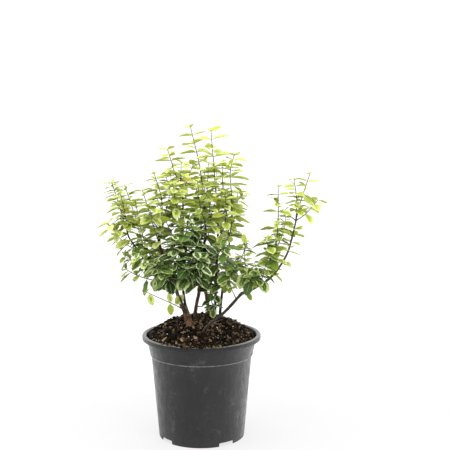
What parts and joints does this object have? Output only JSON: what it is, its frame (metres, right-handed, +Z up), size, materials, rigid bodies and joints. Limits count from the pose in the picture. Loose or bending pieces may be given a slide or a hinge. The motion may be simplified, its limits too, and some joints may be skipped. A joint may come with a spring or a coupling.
{
  "type": "potted euonymus",
  "caption": "Young variegated euonymus bush with woody stems and leafy shoots, growing in a round nursery pot of soil.",
  "frame": {"origin": "centre of the flat middle of the pot's underside", "axes": "+Z up through the pot; -Y is the front; the long side branch reaches out towards +X"},
  "size_m": [0.3227, 0.1809, 0.4472],
  "materials": {
    "pot_plastic": "charcoal moulded plastic with dust and light scuffs",
    "potting_soil": "moist dark potting compost with bark bits, fibres and white grit",
    "bark": "thin brown bark with pale furrows",
    "young_bark": "smooth green-brown bark",
    "new_leaf": "soft lime-green new leaves",
    "mid_leaf": "green leaves with yellow and cream margins",
    "old_leaf": "waxy dark green leaves with cream margins"
  },
  "bodies": {
    "root": {"pot": "pot_plastic", "soil": "potting_soil", "trunk": "bark", "left_stem": "bark", "inner_left_stem": "young_bark", "front_stem": "young_bark", "far_left_stem": "young_bark", "centre_stem": "bark", "bare_twig": "young_bark", "back_stem": "bark", "back_right_stem": "young_bark", "upright_stem": "old_leaf", "right_stem": "bark", "right_limb": "mid_leaf", "centre_tips": "new_leaf", "upright_tips": "new_leaf", "inner_left_tips": "new_leaf", "upright_shoot_1": "new_leaf", "left_tips": "new_leaf", "left_shoot_5": "new_leaf", "far_left_tips": "mid_leaf", "far_left_shoot_2": "mid_leaf", "far_left_shoot_3": "new_leaf", "inner_left_shoot_4": "new_leaf", "inner_left_shoot_5": "new_leaf", "right_tips": "new_leaf", "right_shoot_1": "mid_leaf", "right_shoot_2": "mid_leaf", "right_shoot_3": "mid_leaf", "right_shoot_4": "old_leaf", "low_left_twig": "new_leaf", "left_shoot_1": "mid_leaf", "left_shoot_2": "old_leaf", "left_shoot_3": "old_leaf", "left_shoot_4": "mid_leaf", "far_left_shoot_5": "mid_leaf", "far_left_shoot_6": "mid_leaf", "inner_left_shoot_1": "old_leaf", "inner_left_shoot_2": "old_leaf", "inner_left_shoot_3": "mid_leaf", "front_shoot_1": "old_leaf", "front_shoot_2": "old_leaf", "front_shoot_3": "old_leaf", "front_tips": "old_leaf", "centre_shoot_1": "old_leaf", "centre_shoot_2": "old_leaf", "centre_shoot_3": "old_leaf", "centre_shoot_4": "new_leaf", "back_shoot_1": "old_leaf", "back_shoot_2": "old_leaf", "back_shoot_3": "old_leaf", "back_shoot_4": "mid_leaf", "back_tips": "new_leaf", "back_right_shoot_1": "old_leaf", "back_right_shoot_2": "old_leaf", "back_right_tips": "new_leaf", "upright_shoot_3": "old_leaf", "upright_shoot_4": "old_leaf", "upright_shoot_5": "new_leaf", "upright_shoot_6": "old_leaf"}
  },
  "joints": []
}
